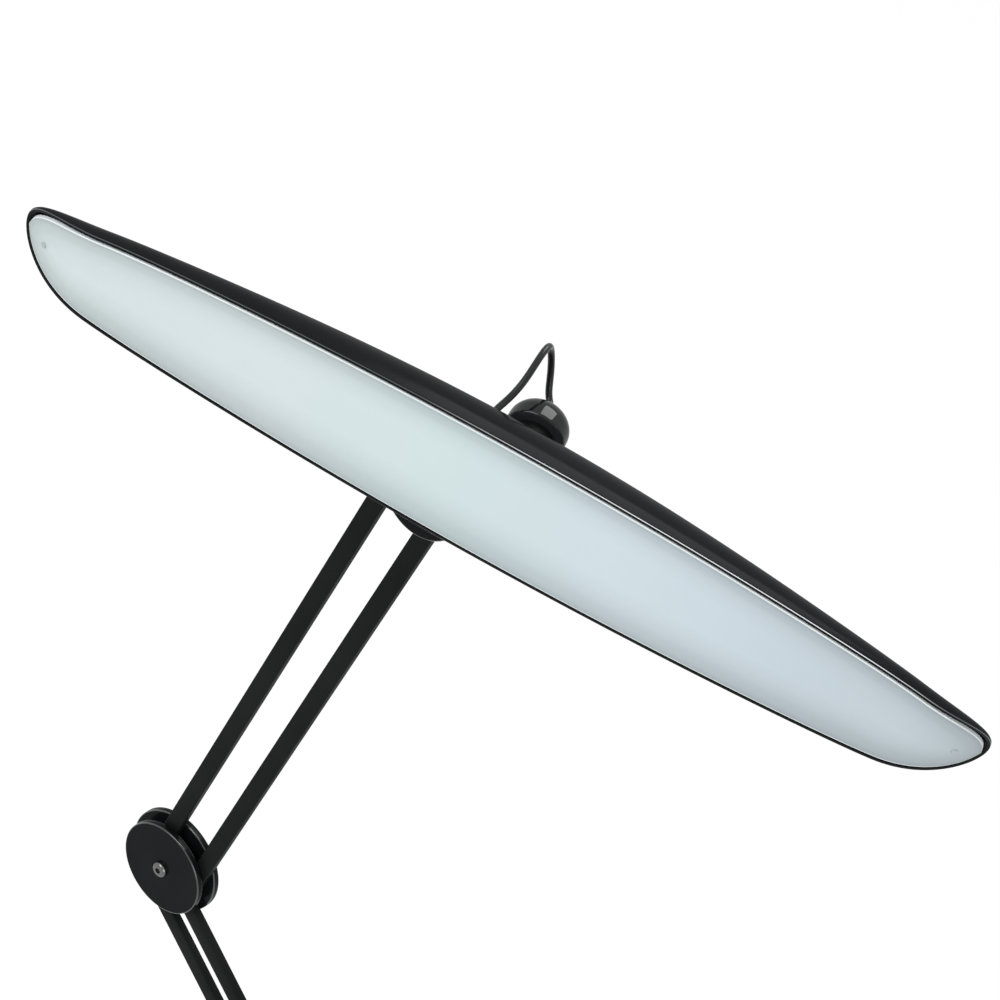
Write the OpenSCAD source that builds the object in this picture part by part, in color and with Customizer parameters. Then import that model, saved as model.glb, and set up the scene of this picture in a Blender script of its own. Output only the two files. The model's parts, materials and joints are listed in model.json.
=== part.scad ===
// Clip-on work lamp: a boat-shaped light head on a double parallelogram arm with a table clamp.
// Millimetres. X points forward over the table, Z up. The origin lies on the table top,
// on the swivel axis of the base.

/* [Head] */
// Length of the light head
head_len = 579; // [400:1:700]
// Width of the light head at its middle
head_w = 93.5; // [70:0.5:120]
// Depth of the hull at its middle, from the rim to the back
hull_depth = 42.5; // [30:0.5:60]
// Height of the hull's back over the flat part of the rim, at the tips
tip_depth = 18.2; // [17:0.1:24]
// How far the rim turns up at the tips
tip_rise = 15.8; // [0:0.2:16]
// Length of the upturned part of the rim
tip_run = 49; // [30:1:60]
// Radius of the long sides seen from the front
side_radius = 2200; // [1800:10:4000]
// Wall of the hull
hull_wall = 2; // [1.5:0.1:3]
// Width of the black band round the diffuser
rim_band = 2.8; // [1.2:0.1:4]
// Thickness of the diffuser
diffuser_t = 2.5; // [2:0.1:4]
// How far the diffuser stands out of the rim
diffuser_proud = 0.5; // [0.3:0.1:1.5]
// Length of the tray that holds the light strips
tray_len = 450; // [280:1:460]
// Diameter of the head's lead
lead_d = 4; // [2.5:0.1:5]

/* [Neck] */
// Distance from the top joint to the stem of the head
neck_len = 78.9; // [72:0.1:110]
// Lean of the neck from the vertical
neck_lean = 29.5; // [-9:0.1:74]
// Turn of the head round the neck
neck_turn = 23.3; // [-60:0.1:180]
// Turn of the head on its stem
head_turn = 27; // [-30:0.1:30]
// Diameter of the stem
stem_d = 12; // [10:0.5:14]
// Diameter of the neck's eye
eye_d = 24; // [20:0.5:28]
// Length of the neck's eye along the stem
eye_len = 10.6; // [10:0.1:14]
// Diameter of the dome
dome_d = 35.5; // [30:0.5:44]
// Height of the dome
dome_h = 21.5; // [19:0.5:26]
// Height of the dome's rounded top
dome_cap = 14.5; // [5:0.5:16]

/* [Arms] */
// Length of both arms from pivot to pivot
arm_len = 406; // [250:1:600]
// Width of the flat tube
bar_w = 12.4; // [12:0.1:13]
// Thickness of the flat tube
bar_t = 6.3; // [5.5:0.1:8]
// Wall of the flat tube
bar_wall = 1.2; // [1:0.1:1.4]
// Tube end past the pivot
bar_over = 8; // [7.5:0.1:8.5]
// Lean of the lower arm, forward is positive
lower_lean = -61; // [-70:0.5:45]
// Lean of the upper arm, forward is positive
upper_lean = 5.2; // [-42:0.1:65]
// Diameter of the pivot pins
pin_d = 6; // [4:0.5:6.5]
// Diameter of the elbow's front plate
elbow_d = 71.5; // [68:0.5:78]
// Diameter of the elbow's back plate
elbow_back_d = 79; // [68:0.5:90]
// Diameter of the plates at the base and at the top joint
end_d = 61; // [60:0.5:70]
// Thickness of the plates
disc_t = 5; // [3:0.1:6]
// Diameter of the centre screws
screw_d = 6; // [4:0.5:7]

/* [Base and clamp] */
// Diameter of the base housing
housing_d = 46; // [44:1:60]
// Height of the base housing
housing_h = 30; // [28:1:45]
// Diameter of the swivel spigot
spigot_d = 12; // [10:0.5:14]
// Width of the clamp
clamp_w = 40; // [32:1:60]
// Thickness of the upper jaw
jaw_t = 10; // [8:0.5:14]
// Height of the throat of the clamp
throat_h = 82; // [80:1:110]
// Opening that the clamp is set to
opening = 35; // [6:1:64]
// Diameter of the clamp screw
clamp_screw_d = 10; // [8:0.5:12]
// Diameter of the knob
knob_d = 36; // [28:1:44]

/* [Fits] */
// Clearance all round a turning fit
run_fit = 0.05; // [0.02:0.01:0.1]
// Clearance all round a seated fit
seat_fit = 0.02; // [0.01:0.01:0.05]
// Space left beside moving faces
side_gap = 0.5; // [0.3:0.1:0.8]
// Space left under parts that lie on a seat
seat_gap = 0.2; // [0.1:0.05:0.3]

/* [Hidden] */
$fn = 72;

black = [0.03, 0.03, 0.035];
satin = [0.06, 0.06, 0.065];
steel = [0.72, 0.73, 0.75];
nylon = [0.16, 0.16, 0.17];
white = [0.93, 0.95, 0.95];

// Heights of the clamp and the base over the table top
pad_t = 2;
boss_h = 28;
boss_d = spigot_d + 18;
bush_d = spigot_d + 4;
jaw_top = pad_t + jaw_t;
boss_top = jaw_top + boss_h;
floor_t = 3.7;
floor_z = boss_top + 0.3;
housing_z = floor_z + floor_t;
housing_top = housing_z + housing_h;
base_z = housing_top + end_d / 2 + 5.5;
housing_wall = 2.5;
ports_z = housing_z + 15;
button_d = 12;
button_lip_d = 14.5;
inlet_d = 9;
inlet_rim_d = 12;
plug_bore_d = 5.6;
plug_pin_d = 2;
board_post_d = 4;
board_z = housing_z + 8;
board_t = 1.6;
block_half = 20;

// Clamp
spine_x = -34;
spine_t = 10;
jaw_front = 30;
lower_front = 18;
lower_t = 12;
lower_top = pad_t - throat_h;
cup_h = 9;
plate_t = 3;
plate_d = 30;
plate_z = -opening - pad_t - plate_t;
cup_z = plate_z - cup_h;
screw_top = plate_z - 1.3;
knob_top = lower_top - lower_t - (opening - 4) - 1;
knob_h = 18;
knob_floor = 4;
finger_d = 11;

// Pivots, as x and z from the centres of the plates
base_pair = [0, 8];
low_half = [17.5, 4.75];
elbow_low = [2.3, -18.45];
elbow_up = [7.2, 14.5];
up_half = [17.6, -6.5];
top_pair = [-7.2, -11.3];
base_pts = [base_pair - low_half, base_pair + low_half];
low_pts = [elbow_low - low_half, elbow_low + low_half];
up_pts = [elbow_up - up_half, elbow_up + up_half];
top_pts = [top_pair - up_half, top_pair + up_half];
base_c = [0, base_z];
elbow_c = base_c + base_pair + arm_len * [sin(lower_lean), cos(lower_lean)] - elbow_low;
top_c = elbow_c + elbow_up + arm_len * [sin(upper_lean), cos(upper_lean)] - top_pair;

// Plates, pins and bushes
gap_half = bar_t / 2 + side_gap;
pin_seat = 2;
bar_bush_d = pin_d + 3;
corner_r = norm([bar_over, bar_w / 2]);
plug_t = 1.2;
edge_c = 0.7;
bar_c = 0.8;
hub_r = min(norm(top_pts[0]), norm(top_pts[1])) - corner_r - side_gap;
sleeve_d = screw_d + 4.5;
head_screw_d = screw_d + 6;
head_screw_h = 3.3;

// Neck
hub_half = gap_half - 0.3;
tongue_w = 14;
socket_z = end_d / 2 + 0.7;
socket_h = 21;
socket_d = 18;
socket_floor = 3;
neck_pin_d = 10;
collar_h = 4;
collar_d = 16;
neck_rod_d = 10;

// Head, measured from the crossing of the neck and the stem, z toward the light
head_half = head_len / 2;
face_gap = 0.3;
flange_t = 2;
flange_z = eye_len / 2 + face_gap;
land_z = flange_z + flange_t;
land_sink = 0.5;
rim_z = land_z - land_sink + hull_depth;
flange_d = 26;
wire_bore_d = 6;
stem_over = 6.5;
dome_z = -eye_len / 2 - face_gap;
dome_plate_t = 2.5;
dome_wall = 2.2;
recess = diffuser_t - diffuser_proud;
ledge = 2;
lip_h = 2;
lip_in = 0.5;
nut_d = 20;
nut_t = 4;
tray_z = rim_z - 16;
tray_t = 2;
tray_w = 32;
tip_x = head_half - 17;
tip_screw_d = 2;
tip_head_d = 3.2;

function half_width(x) =
    (head_w / 2 - x * x / 2 / side_radius) * sqrt(max(0, 1 - pow(abs(x) / head_half, 15)));
function rise(x) = tip_rise * pow(max(0, (abs(x) - head_half + tip_run) / tip_run), 2);
function rise_angle(x) = atan(2 * tip_rise * max(0, abs(x) - head_half + tip_run) / tip_run / tip_run);
function back(x) = tip_depth + (hull_depth - tip_depth) * pow(max(0, 1 - pow(x / head_half, 2)), 1.6);
function open_half(x) = max(0.35, half_width(abs(x) * head_half / (head_half - rim_band)) - rim_band);
function fade(x) = max(0, min(1, (head_half - 4 - abs(x)) / 6));
function cavity(x) = max(0, back(x) - rise(x) - recess - hull_wall) * fade(x);

// Places
module at_plate(c) translate([c[0], 0, c[1]]) children();
module at_pivot(c, p, lean) at_plate(c + p) rotate([0, lean, 0]) children();
module at_neck() at_plate(top_c) rotate([0, neck_lean, 0]) children();
module at_eye() at_neck() translate([0, 0, neck_len])
    rotate([0, 0, neck_turn]) rotate([90, 0, 0]) children();
module at_head() at_eye() rotate([0, 0, head_turn]) children();

module along_y(y0, y1, d) translate([0, y0, 0]) rotate([-90, 0, 0]) cylinder(d = d, h = y1 - y0);

// A solid made of closed rings of points, each ring joined to the next one
module skin(rings, caps) {
    m = len(rings[0]);
    n = len(rings);
    pts = [for (r = rings) for (p = r) p];
    walls = [for (i = [0 : n - 2]) for (j = [0 : m - 1]) each
        [[i * m + j, i * m + (j + 1) % m, (i + 1) * m + j],
         [i * m + (j + 1) % m, (i + 1) * m + (j + 1) % m, (i + 1) * m + j]]];
    last = (n - 1) * m;
    ends = [for (c = caps) each [[c[2], c[1], c[0]], [last + c[0], last + c[1], last + c[2]]]];
    polyhedron(points = pts, faces = concat(walls, ends), convexity = 6);
}

// Clamp
module clamp_body() color(satin) difference() {
    union() {
        rotate([90, 0, 0]) linear_extrude(clamp_w, center = true) polygon([
            [spine_x + 2, jaw_top], [jaw_front - 2, jaw_top], [jaw_front, jaw_top - 2], [jaw_front, pad_t],
            [spine_x + spine_t + 3, pad_t], [spine_x + spine_t, pad_t - 3],
            [spine_x + spine_t, lower_top + 3], [spine_x + spine_t + 3, lower_top],
            [lower_front, lower_top], [lower_front, lower_top - lower_t + 2],
            [lower_front - 2, lower_top - lower_t], [spine_x + 2, lower_top - lower_t],
            [spine_x, lower_top - lower_t + 2], [spine_x, jaw_top - 2]]);
        translate([0, 0, jaw_top - 1]) cylinder(d = boss_d, h = boss_h + 1);
    }
    translate([0, 0, jaw_top - 2]) cylinder(d = bush_d + 2 * seat_fit, h = boss_h + 3);
    translate([0, 0, lower_top - lower_t - 1]) cylinder(d = clamp_screw_d + 2 * run_fit, h = lower_t + 2);
}

module jaw_pad() color(nylon) translate([spine_x + spine_t + 4, -clamp_w / 2 + 1, 0])
    cube([jaw_front - spine_x - spine_t - 5, clamp_w - 2, pad_t]);

module socket_bush() color(nylon) difference() {
    translate([0, 0, jaw_top - 2]) cylinder(d = bush_d, h = boss_h + 2);
    translate([0, 0, jaw_top - 3]) cylinder(d = spigot_d + 2 * run_fit, h = boss_h + 4);
}

module pressure_plate() color(satin) difference() {
    union() {
        translate([0, 0, plate_z]) cylinder(d = plate_d, h = plate_t);
        translate([0, 0, cup_z]) cylinder(d = clamp_screw_d + 6, h = cup_h + 0.5);
    }
    translate([0, 0, cup_z - 1]) cylinder(d = clamp_screw_d + 2 * run_fit, h = cup_h);
}

module plate_pad() color(nylon) translate([0, 0, plate_z + plate_t]) cylinder(d = plate_d, h = pad_t);

module clamp_screw() color(steel) translate([0, 0, knob_top - knob_h + knob_floor])
    cylinder(d = clamp_screw_d, h = screw_top - knob_top + knob_h - knob_floor);

module clamp_knob() color(black) difference() {
    translate([0, 0, knob_top - knob_h]) rotate_extrude() polygon([
        [0, 0], [knob_d / 2 - 2, 0], [knob_d / 2, 2], [knob_d / 2, knob_h - 5],
        [knob_d / 2 - 3, knob_h - 2], [clamp_screw_d / 2 + 4, knob_h], [0, knob_h]]);
    translate([0, 0, knob_top - knob_h + knob_floor - seat_gap])
        cylinder(d = clamp_screw_d + 2 * seat_fit, h = knob_h);
    for (i = [0 : 5]) rotate([0, 0, 60 * i]) translate([knob_d / 2 + 3.2, 0, knob_top - knob_h - 1])
        cylinder(d = finger_d, h = knob_h + 2);
}

// Base
module base_floor() color(satin) {
    translate([0, 0, floor_z]) cylinder(d = housing_d, h = floor_t);
    translate([0, 0, jaw_top - 0.5]) cylinder(d = spigot_d, h = floor_z - jaw_top + 1);
    for (s = [-1, 1]) translate([s * 8, 0, housing_z - 1])
        cylinder(d = board_post_d, h = board_z - housing_z + 1);
}

module base_housing() color(black) difference() {
    translate([0, 0, housing_z]) rotate_extrude() polygon([
        [0, 0], [housing_d / 2, 0], [housing_d / 2, housing_h - 2],
        [housing_d / 2 - 2, housing_h], [0, housing_h]]);
    translate([0, 0, housing_z - 1]) cylinder(d = housing_d - 2 * housing_wall, h = housing_h - 2);
    translate([0, 0, ports_z]) rotate([0, 90, 0]) cylinder(d = button_d + 2 * side_gap, h = housing_d);
    translate([0, 0, ports_z]) rotate([0, -90, 0]) cylinder(d = inlet_d + 2 * seat_fit, h = housing_d);
}

module base_block() color(satin) {
    block_top = base_z + min(base_pts[0][1], base_pts[1][1]) - corner_r - side_gap;
    translate([-block_half, -gap_half, housing_top])
        cube([2 * block_half, 2 * gap_half, block_top - housing_top]);
}

module plate(d, side, pts, hole) difference() {
    translate([0, side * (gap_half + disc_t / 2), 0]) rotate([90, 0, 0]) rotate_extrude() polygon([
        [0, -disc_t / 2], [d / 2 - edge_c, -disc_t / 2], [d / 2, -disc_t / 2 + edge_c],
        [d / 2, disc_t / 2 - edge_c], [d / 2 - edge_c, disc_t / 2], [0, disc_t / 2]]);
    for (p = pts) at_plate(p) along_y(-gap_half - pin_seat, gap_half + pin_seat, pin_d + 2 * seat_fit);
    if (hole) along_y(-gap_half - disc_t - 1, gap_half + disc_t + 1, screw_d + 2 * seat_fit);
}

module pins(pts) for (p = pts) at_plate(p)
    along_y(-gap_half - pin_seat + seat_fit, gap_half + pin_seat - seat_fit, pin_d);

module base_disc_front() color(black) at_plate(base_c) plate(end_d, -1, base_pts, false);
module base_disc_back() color(black) at_plate(base_c) plate(end_d, 1, base_pts, false);
module base_pins() color(steel) at_plate(base_c) pins(base_pts);

module dc_inlet() color(nylon) translate([0, 0, ports_z]) rotate([0, -90, 0]) {
    difference() {
        union() {
            translate([0, 0, housing_d / 2 + seat_gap]) cylinder(d = inlet_rim_d, h = 1.8);
            translate([0, 0, housing_d / 2 - 11]) cylinder(d = inlet_d, h = 12);
        }
        translate([0, 0, housing_d / 2 - 8]) cylinder(d = plug_bore_d, h = 12);
    }
    translate([0, 0, housing_d / 2 - 9]) cylinder(d = plug_pin_d, h = 9.5);
}

module dimmer_board() color([0.1, 0.32, 0.18]) {
    translate([-11, -9, board_z]) cube([24, 18, board_t]);
    translate([5, 0, board_z + 1]) cylinder(d = 8, h = 9);
}

module switch_button() color(nylon) translate([0, 0, ports_z]) rotate([0, 90, 0]) {
    flange_x = sqrt(pow(housing_d / 2 - housing_wall, 2) - pow(button_lip_d / 2, 2)) - 0.3;
    translate([0, 0, flange_x - 1.5]) cylinder(d = button_lip_d, h = 1.5);
    translate([0, 0, flange_x - 0.5]) cylinder(d = button_d, h = housing_d / 2 + 2.5 - flange_x);
}

// Arm bars, each drawn from its lower pivot upward
module tube_shape(w, t, c) polygon([
    [-w / 2 + c, -t / 2], [w / 2 - c, -t / 2], [w / 2, -t / 2 + c], [w / 2, t / 2 - c],
    [w / 2 - c, t / 2], [-w / 2 + c, t / 2], [-w / 2, t / 2 - c], [-w / 2, -t / 2 + c]]);

module tube_hollow(fit)
    square([bar_w - 2 * bar_wall - 2 * fit, bar_t - 2 * bar_wall - 2 * fit], center = true);

module tube() difference() {
    end = bar_over - plug_t;
    translate([0, 0, -end]) linear_extrude(arm_len + 2 * end) tube_shape(bar_w, bar_t, bar_c);
    translate([0, 0, -end - 1]) linear_extrude(arm_len + 2 * end + 2) tube_hollow(0);
    for (z = [0, arm_len]) translate([0, 0, z]) along_y(-bar_t, bar_t, bar_bush_d + 2 * seat_fit);
}

module bushes() for (z = [0, arm_len]) translate([0, 0, z]) difference() {
    along_y(-bar_t / 2, bar_t / 2, bar_bush_d);
    along_y(-bar_t, bar_t, pin_d + 2 * run_fit);
}

module plugs() for (k = [0, 1]) translate([0, 0, k * arm_len]) rotate([180 * k, 0, 0]) {
    translate([0, 0, -bar_over]) linear_extrude(plug_t) tube_shape(bar_w, bar_t, bar_c);
    translate([0, 0, -bar_over + plug_t / 2])
        linear_extrude(bar_over - bar_bush_d / 2 - 0.3 - plug_t / 2) tube_hollow(seat_fit);
}

module lower_bar_a() color(satin) at_pivot(base_c, base_pts[0], lower_lean) tube();
module lower_bushes_a() color(nylon) at_pivot(base_c, base_pts[0], lower_lean) bushes();
module lower_plugs_a() color(nylon) at_pivot(base_c, base_pts[0], lower_lean) plugs();
module lower_bar_b() color(satin) at_pivot(base_c, base_pts[1], lower_lean) tube();
module lower_bushes_b() color(nylon) at_pivot(base_c, base_pts[1], lower_lean) bushes();
module lower_plugs_b() color(nylon) at_pivot(base_c, base_pts[1], lower_lean) plugs();
module upper_bar_a() color(satin) at_pivot(elbow_c, up_pts[0], upper_lean) tube();
module upper_bushes_a() color(nylon) at_pivot(elbow_c, up_pts[0], upper_lean) bushes();
module upper_plugs_a() color(nylon) at_pivot(elbow_c, up_pts[0], upper_lean) plugs();
module upper_bar_b() color(satin) at_pivot(elbow_c, up_pts[1], upper_lean) tube();
module upper_bushes_b() color(nylon) at_pivot(elbow_c, up_pts[1], upper_lean) bushes();
module upper_plugs_b() color(nylon) at_pivot(elbow_c, up_pts[1], upper_lean) plugs();

// Elbow
module elbow_disc_front() color(black) at_plate(elbow_c) plate(elbow_d, -1, concat(low_pts, up_pts), true);
module elbow_disc_back() color(black) at_plate(elbow_c) plate(elbow_back_d, 1, concat(low_pts, up_pts), true);
module elbow_pins() color(steel) at_plate(elbow_c) pins(concat(low_pts, up_pts));

module elbow_sleeve() color(nylon) at_plate(elbow_c) difference() {
    along_y(-gap_half, gap_half, sleeve_d);
    along_y(-gap_half - 1, gap_half + 1, screw_d + 2 * seat_fit);
}

// A round-headed screw from the front plate to a nut behind the back plate
module centre_screw() {
    face = gap_half + disc_t;
    along_y(-face - 0.5, face + 4, screw_d);
    difference() {
        translate([0, -face, 0]) rotate([90, 0, 0]) rotate_extrude() polygon([
            [0, 0], [head_screw_d / 2, 0], [head_screw_d / 2, 0.9], [head_screw_d / 2 - 0.6, 1.9],
            [head_screw_d / 2 - 1.7, 2.8], [head_screw_d / 2 - 2.8, head_screw_h], [0, head_screw_h]]);
        translate([0, -face - head_screw_h - 1, 0]) rotate([-90, 0, 0]) cylinder(d = 4.6, h = 2.9, $fn = 6);
    }
}

module centre_nut() difference() {
    face = gap_half + disc_t;
    translate([0, face, 0]) rotate([-90, 0, 0]) cylinder(d = screw_d + 5.5, h = 4.2, $fn = 6);
    along_y(face - 1, face + 6, screw_d + 2 * seat_fit);
}

module elbow_screw() color(steel) at_plate(elbow_c) centre_screw();
module elbow_nut() color(steel) at_plate(elbow_c) centre_nut();

// Top joint
module top_disc_front() color(black) at_plate(top_c) plate(end_d, -1, top_pts, true);
module top_disc_back() color(black) at_plate(top_c) plate(end_d, 1, top_pts, true);
module top_pins() color(steel) at_plate(top_c) pins(top_pts);
module top_screw() color(steel) at_plate(top_c) centre_screw();
module top_nut() color(steel) at_plate(top_c) centre_nut();

// Neck
module neck_hub() color(satin) at_neck() difference() {
    union() {
        along_y(-hub_half, hub_half, 2 * hub_r);
        translate([-tongue_w / 2, -hub_half, 0]) cube([tongue_w, 2 * hub_half, socket_z + 1]);
        translate([0, 0, socket_z]) cylinder(d = socket_d, h = socket_h);
    }
    along_y(-gap_half - 1, gap_half + 1, screw_d + 2 * run_fit);
    translate([0, 0, socket_z + socket_floor]) cylinder(d = neck_pin_d + 2 * run_fit, h = socket_h);
}

module neck() color(satin) at_neck() difference() {
    collar_z = socket_z + socket_h;
    union() {
        translate([0, 0, socket_z + socket_floor + 1]) cylinder(d = neck_pin_d, h = socket_h);
        translate([0, 0, collar_z + face_gap]) cylinder(d = collar_d, h = collar_h - face_gap);
        translate([0, 0, collar_z + 1]) cylinder(d = neck_rod_d, h = neck_len - collar_z - 1);
        translate([0, 0, neck_len]) rotate([0, 0, neck_turn]) along_y(-eye_len / 2, eye_len / 2, eye_d);
    }
    translate([0, 0, neck_len]) rotate([0, 0, neck_turn]) along_y(-eye_len, eye_len, stem_d + 2 * run_fit);
}

// Head
module stem() color(steel) at_head() difference() {
    stem_z = dome_z - stem_over;
    union() {
        translate([0, 0, stem_z]) cylinder(d = stem_d, h = land_z + hull_wall + nut_t + 3 - stem_z);
        translate([0, 0, flange_z]) cylinder(d = flange_d, h = flange_t);
    }
    translate([0, 0, stem_z - 1]) cylinder(d = wire_bore_d, h = 60);
}

module ring_nut(z) translate([0, 0, z]) difference() {
    cylinder(d = nut_d, h = nut_t, $fn = 6);
    translate([0, 0, -1]) cylinder(d = stem_d + 2 * seat_fit, h = nut_t + 2);
}

module stem_nut() color(steel) at_head() {
    sag = (hull_depth - hull_wall) * (1 - sqrt(1 - pow(nut_d / (head_w - 2 * (rim_band + ledge)), 2)));
    ring_nut(land_z - land_sink + hull_wall + sag + 0.1);
    ring_nut(dome_z - dome_plate_t - nut_t);
}

module dome_plate() color(black) at_head() difference() {
    translate([0, 0, dome_z - dome_plate_t]) cylinder(d = dome_d, h = dome_plate_t);
    translate([0, 0, dome_z - dome_plate_t - 1]) cylinder(d = stem_d + 2 * seat_fit, h = dome_plate_t + 2);
}

// Outline of the dome over its base plate: a straight side and a rounded top
function dome_side(r, h) = concat([[r, 0]],
    [for (a = [0 : 6 : 90]) [max(0, r * cos(a)), h - dome_cap + dome_cap * sin(a)]]);

module dome() color(black) at_head() translate([0, 0, dome_z - dome_plate_t]) mirror([0, 0, 1])
    rotate_extrude() difference() {
        h = dome_h - dome_plate_t;
        polygon(concat(dome_side(dome_d / 2, h), [[0, 0]]));
        translate([0, -0.01]) polygon(concat(dome_side(dome_d / 2 - dome_wall, h - dome_wall), [[0, 0]]));
    }

hull_n = 20;
arc_n = 14;
open_x = head_half - rim_band;

function hull_ring(x, open) =
    let (w = half_width(x), r = rim_z - rise(x), h = back(x) - rise(x), lip = min(lip_h, h / 2))
    let (o = open_half(x), d = open ? recess : 0, c = open ? cavity(x) : 0)
    let (v = max(0.5 * o, o - ledge), s = w - min(lip_in, 0.1 * w))
    concat(
        [[x, w, r], [x, w, r - lip]],
        [for (k = [0 : arc_n]) [x, s * cos(180 * k / arc_n), r - lip - (h - lip) * sin(180 * k / arc_n)]],
        [[x, -w, r - lip], [x, -w, r], [x, -o, r], [x, -o, r - d]],
        [for (k = [arc_n : -1 : 0]) [x, v * cos(180 * k / arc_n), r - d - c * sin(180 * k / arc_n)]],
        [[x, o, r - d], [x, o, r]]);

module head_shell() color(black) at_head() difference() {
    m = arc_n + 5;
    rings = concat(
        [hull_ring(-head_half + 0.15, false), hull_ring(-open_x - 0.1, false)],
        [for (i = [-hull_n : hull_n]) hull_ring(open_x * sin(90 * i / hull_n), true)],
        [hull_ring(open_x + 0.1, false), hull_ring(head_half - 0.15, false)]);
    caps = [for (k = [0 : m - 2]) each [[k, k + 1, 2 * m - 2 - k], [k, 2 * m - 2 - k, 2 * m - 1 - k]]];
    skin(rings, caps);
    translate([0, 0, land_z - 8]) cylinder(d = flange_d + 0.6, h = 8);
    cylinder(d = stem_d + 2 * seat_fit, h = land_z + 12);
}

function plate_ring(x) =
    let (d = max(0.2, open_half(x) - 0.15), r = rim_z - rise(x), b = min(2.2, 0.6 * d))
    [[x, d, r - recess + 0.1], [x, d, r + 0.2], [x, d - b, r + diffuser_proud],
     [x, b - d, r + diffuser_proud], [x, -d, r + 0.2], [x, -d, r - recess + 0.1]];

module at_tip(s) translate([s * tip_x, 0, rim_z - rise(tip_x)])
    rotate([0, s * rise_angle(tip_x), 0]) children();

module diffuser() color(white) at_head() difference() {
    skin([for (i = [-hull_n : hull_n]) plate_ring((open_x - 0.15) * sin(90 * i / hull_n))],
        [[0, 1, 5], [1, 4, 5], [1, 2, 4], [2, 3, 4]]);
    for (s = [-1, 1]) at_tip(s) translate([0, 0, -5]) cylinder(d = tip_screw_d + 0.5, h = 10);
}

module tip_screws() color(steel) at_head() for (s = [-1, 1]) at_tip(s) {
    translate([0, 0, diffuser_proud + seat_gap]) cylinder(d = tip_head_d, h = 1);
    translate([0, 0, -4.5]) cylinder(d = tip_screw_d, h = diffuser_proud + 5);
}

module tip_posts() color(black) at_head() for (s = [-1, 1]) difference() {
    foot = rim_z - back(tip_x + 3.5) + hull_wall + 0.5;
    translate([s * tip_x, 0, foot]) cylinder(d = 7, h = rim_z - foot);
    at_tip(s) translate([-10, -10, -recess - seat_gap]) cube([20, 20, 30]);
    at_tip(s) translate([0, 0, -5]) cylinder(d = tip_screw_d + 2 * seat_fit, h = 10);
}

module led_tray() color([0.8, 0.81, 0.82]) at_head() translate([-tray_len / 2, -tray_w / 2, tray_z])
    cube([tray_len, tray_w, tray_t]);

module tray_posts() color(black) at_head() for (x = tray_len * [-0.4, -0.14, 0.14, 0.4]) {
    foot = rim_z - back(abs(x) + 3) + hull_wall + 0.5;
    translate([x, 0, foot]) cylinder(d = 6, h = tray_z - foot);
}

module led_boards() color(white) at_head() for (s = [-1, 1])
    translate([-tray_len / 2 + 5, s * tray_w / 4 - 5, tray_z + tray_t]) cube([tray_len - 10, 10, 1]);

module led_chips() color([0.95, 0.85, 0.35]) at_head() for (s = [-1, 1], i = [0 : 19])
    translate([(i - 9.5) * (tray_len - 30) / 20 - 1.75, s * tray_w / 4 - 1.5, tray_z + tray_t + 1])
    cube([3.5, 3, 0.8]);

module driver_box() color(white) at_head() translate([tray_len * 0.16, -11, tray_z - 10]) cube([60, 22, 10]);

// Where the lead goes into the back of the hull, and how the surface lies there
entry = [-24, 13];
entry_w = half_width(entry[0]);
entry_f = sqrt(1 - pow(entry[1] / entry_w, 2));
entry_h = back(entry[0]) * entry_f;
entry_a = atan(back(entry[0]) * entry[1] / entry_w / entry_w / entry_f);
entry_p = [entry[0], entry[1], rim_z - entry_h];
entry_n = [0, sin(entry_a), -cos(entry_a)];

module lead_grommet() color(nylon) at_head() translate(entry_p) rotate([180 + entry_a, 0, 0])
    translate([0, 0, 0.6]) difference() {
        cylinder(d = lead_d + 4, h = 2.4);
        translate([0, 0, -1]) cylinder(d = lead_d + 2 * run_fit, h = 5);
    }

lead_top = dome_z - dome_h;
lead_pts = concat(
    [for (i = [0 : 2]) [0, 0, lead_top - 0.15 - lead_d * i * 0.5]],
    [[-1, 0, lead_top - 7], [-4.5, 2, lead_top - 10.5], [-9, 13, lead_top - 16.5],
     [-14.5, 24.5, lead_top - 19.5], [-16.5, 32, lead_top - 14.5], [-17.5, 30.5, lead_top - 3],
     [-18, 23.5, lead_top + 11.5], [-21, 16.5, lead_top + 21.5]],
    [for (i = [2 : -1 : 0]) entry_p + entry_n * (0.7 + lead_d * i * 0.7)]);

function bend(p, t) = (pow(1 - t, 3) * p[0] + (3 * pow(t, 3) - 6 * t * t + 4) * p[1]
    + (-3 * pow(t, 3) + 3 * t * t + 3 * t + 1) * p[2] + pow(t, 3) * p[3]) / 6;

module head_lead() color(nylon) at_head() {
    n = len(lead_pts);
    ends = concat([2 * lead_pts[0] - lead_pts[1]], lead_pts, [2 * lead_pts[n - 1] - lead_pts[n - 2]]);
    line = concat(
        [for (i = [0 : n - 2], t = [0, 1 / 3, 2 / 3]) bend([for (k = [0 : 3]) ends[i + k]], t)],
        [lead_pts[n - 1]]);
    q = len(line);
    rings = [for (i = [0 : q - 1])
        let (g = line[min(i + 1, q - 1)] - line[max(i - 1, 0)], t = g / norm(g))
        let (a = cross(t, [1, 0, 0]), u = a / norm(a), v = cross(t, u))
        [for (k = [0 : 7]) line[i] + lead_d / 2 * (u * cos(45 * k) + v * sin(45 * k))]];
    skin(rings, [for (k = [1 : 6]) [0, k, k + 1]]);
}

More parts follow.
